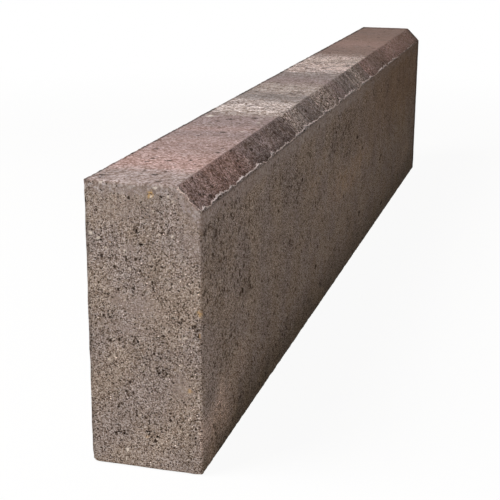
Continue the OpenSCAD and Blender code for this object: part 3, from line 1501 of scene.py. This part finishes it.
    def weathered(
        self, points: np.ndarray, outward: np.ndarray, fine: np.ndarray
    ) -> tuple[np.ndarray, dict[str, np.ndarray]]:
        """Gives the mould's surface its relief, its flash and the masks of its finish.

        Args:
            points: Vertices on the rounded block.
            outward: Directions out of the surface.
            fine: Which vertices are close enough together for small pores.

        Returns:
            The moved vertices, and a mask for each attribute that the finish reads.
        """
        mould, relief = self.mould, self.relief
        cover = spot_covers(points, mould)
        ragged = layered_noise(points, self.ragged_size, self.ragged_seed, 2)
        smooth = eased(cover[MarkKind.SMOOTH], 0.0, 1.0)
        cavity = eased(cover[MarkKind.HOLLOW] * (0.35 + 1.3 * ragged), 0.15, 0.6)
        near_pores, pores = (relief.pores(points, size) for size in (self.least_pore_near, self.least_pore))
        pores = np.where(fine, near_pores, pores)
        sunk = np.maximum(pores * (1 - smooth), relief.cavity_depth * cavity * fine)
        above_foot = points[:, 2] - mould.chamfer_foot[1]
        inset = mould.high[0] - points[:, 0]
        flash = self.finish.flash
        left = flash.left_at(points[:, 1] - mould.low[1])
        crest = flash.crest_at(points[:, 1] - mould.low[1])
        on_fin = (inset < flash.thickness) & (above_foot > -flash.root)
        lift = np.maximum(crest - np.maximum(above_foot, 0), 0) * on_fin
        on_base = np.clip(-outward[:, 2], 0, 1)
        moved = points - outward * ((relief.waves(points) + sunk) * (1 - on_base))[:, None]
        moved[:, 2] += lift
        masks = {
            MarkKind.HOLLOW.value: np.maximum(eased(sunk, 0.1 * MM, 1.2 * MM), cavity),
            MarkKind.PITTED.value: eased(cover[MarkKind.PITTED], 0.0, 0.9),
            MarkKind.PALE.value: eased(cover[MarkKind.PALE], 0.2, 0.7),
            MarkKind.OCHRE.value: eased(cover[MarkKind.OCHRE] * (0.3 + 1.4 * ragged), 0.15, 0.7),
            MarkKind.SMOOTH.value: smooth,
            MarkKind.BLUSH.value: eased(cover[MarkKind.BLUSH], 0.0, 1.0),
            FLASH_MASK: left * (np.abs(above_foot) < flash.reach) * (inset < flash.reach),
            SEAM_HEIGHT: moved[:, 2] - mould.chamfer_foot[1] - crest,
        }
        return moved, masks

    @staticmethod
    def mesh_object(
        name: str, points: np.ndarray, fours: np.ndarray, threes: np.ndarray, masks: dict[str, np.ndarray]
    ) -> bpy.types.Object:
        """Puts arrays into a new mesh object.

        Args:
            name: The object's name.
            points: Vertices.
            fours: Faces with four corners.
            threes: Faces with three corners.
            masks: A number for each vertex, by attribute.

        Returns:
            The object, linked to the scene.
        """
        mesh = bpy.data.meshes.new(name)
        mesh.vertices.add(len(points))
        mesh.vertices.foreach_set("co", points.astype(np.float32).ravel())
        corners = np.concatenate([fours.ravel(), threes.ravel()])
        mesh.loops.add(len(corners))
        mesh.loops.foreach_set("vertex_index", corners.astype(np.int32))
        starts = np.concatenate([np.arange(len(fours)) * 4, fours.size + np.arange(len(threes)) * 3])
        mesh.polygons.add(len(starts))
        mesh.polygons.foreach_set("loop_start", starts.astype(np.int32))
        mesh.polygons.foreach_set("use_smooth", np.ones(len(starts), bool))
        for mask, values in masks.items():
            mesh.attributes.new(mask, "FLOAT", "POINT").data.foreach_set("value", values.astype(np.float32))
        mesh.update(calc_edges=True)
        mesh.validate()
        return linked(name, mesh)


@dataclass
class Studio:
    """A pale floor, a soft lamp and a weak one at the road side, a plain sky and the camera."""

    floor_half: float = 6.0
    key_place: Point = (-1.0, -1.08, 1.80)
    key_power: float = 44.0
    key_width: float = 1.0
    fill_place: Point = (1.0, -0.95, 0.6)
    fill_power: float = 0.5
    fill_width: float = 0.6
    warm: Rgb = (1.0, 0.84, 0.70)
    sky: float = 0.175
    camera_place: Point = (0.2615, -1.1882, 0.3723)
    camera_aim: Point = (0.0051, -0.2590, 0.0879)
    camera_roll: float = math.radians(0.37)
    lens: float = 85.56

    def build(self) -> None:
        """Makes the floor, the lamps, the sky and the camera."""
        self.floor()
        self.lamp("key_lamp", self.key_place, self.key_power, self.key_width)
        self.lamp("fill_lamp", self.fill_place, self.fill_power, self.fill_width)
        self.world()
        self.camera()
        bpy.context.scene.view_settings.view_transform = "Standard"

    def floor(self) -> None:
        """Lays a square floor at the stone's base."""
        half = self.floor_half
        base = float(CAD_LOW.z)
        mesh = bpy.data.meshes.new("floor")
        corners = [(-half, -half, base), (half, -half, base), (half, half, base), (-half, half, base)]
        mesh.from_pydata(corners, [], [(0, 1, 2, 3)])
        mesh.materials.append(PaleFloor().material())
        linked("floor", mesh)

    @staticmethod
    def lamp(name: str, place: Point, power: float, width: float) -> None:
        """Hangs a square soft lamp that faces the stone.

        Args:
            name: The lamp's name.
            place: Where it hangs.
            power: Its power in watts.
            width: Its width.
        """
        data = bpy.data.lights.new(name, "AREA")
        data.energy = power
        data.size = width
        made = linked(name, data)
        made.location = place
        towards = (CAD_LOW + CAD_HIGH) / 2 - Vector(place)
        made.rotation_euler = towards.to_track_quat("-Z", "Y").to_euler()

    def world(self) -> None:
        """Makes a plain sky: white to the camera, and dimmer and a little warm as a light."""
        made = bpy.data.worlds.new("studio_sky")
        made.use_nodes = True
        sheet = NodeSheet(made.node_tree)
        seen = seen_directly(sheet)
        colour = sheet.mix(seen, self.warm, (1.0, 1.0, 1.0))
        strength = self.sky + (1 - self.sky) * seen
        back = sheet.add("ShaderNodeBackground", None, {"Color": colour, "Strength": strength})
        sheet.add("ShaderNodeOutputWorld", None, {"Surface": back})
        bpy.context.scene.world = made

    def camera(self) -> None:
        """Sets the camera up at the near end, above the road face's side, with a slight roll."""
        data = bpy.data.cameras.new("camera")
        data.lens = self.lens
        made = linked("camera", data)
        towards = Vector(self.camera_aim) - Vector(self.camera_place)
        gaze = towards.to_track_quat("-Z", "Y").to_matrix().to_4x4()
        roll = Matrix.Rotation(self.camera_roll, 4, "Z")
        made.matrix_world = Matrix.Translation(self.camera_place) @ (gaze @ roll)
        bpy.context.scene.camera = made


def main() -> None:
    """Builds the stone and the studio, and reports the piece."""
    logging.basicConfig(level=logging.INFO, format="%(message)s")
    low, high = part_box(NODE)
    stone = KerbStone(Mould(np.array(low), np.array(high))).build()
    stone.data.calc_loop_triangles()
    LOG.info("%s: %d triangles", stone.name, len(stone.data.loop_triangles))
    Studio().build()


if __name__ == "__main__":
    main()
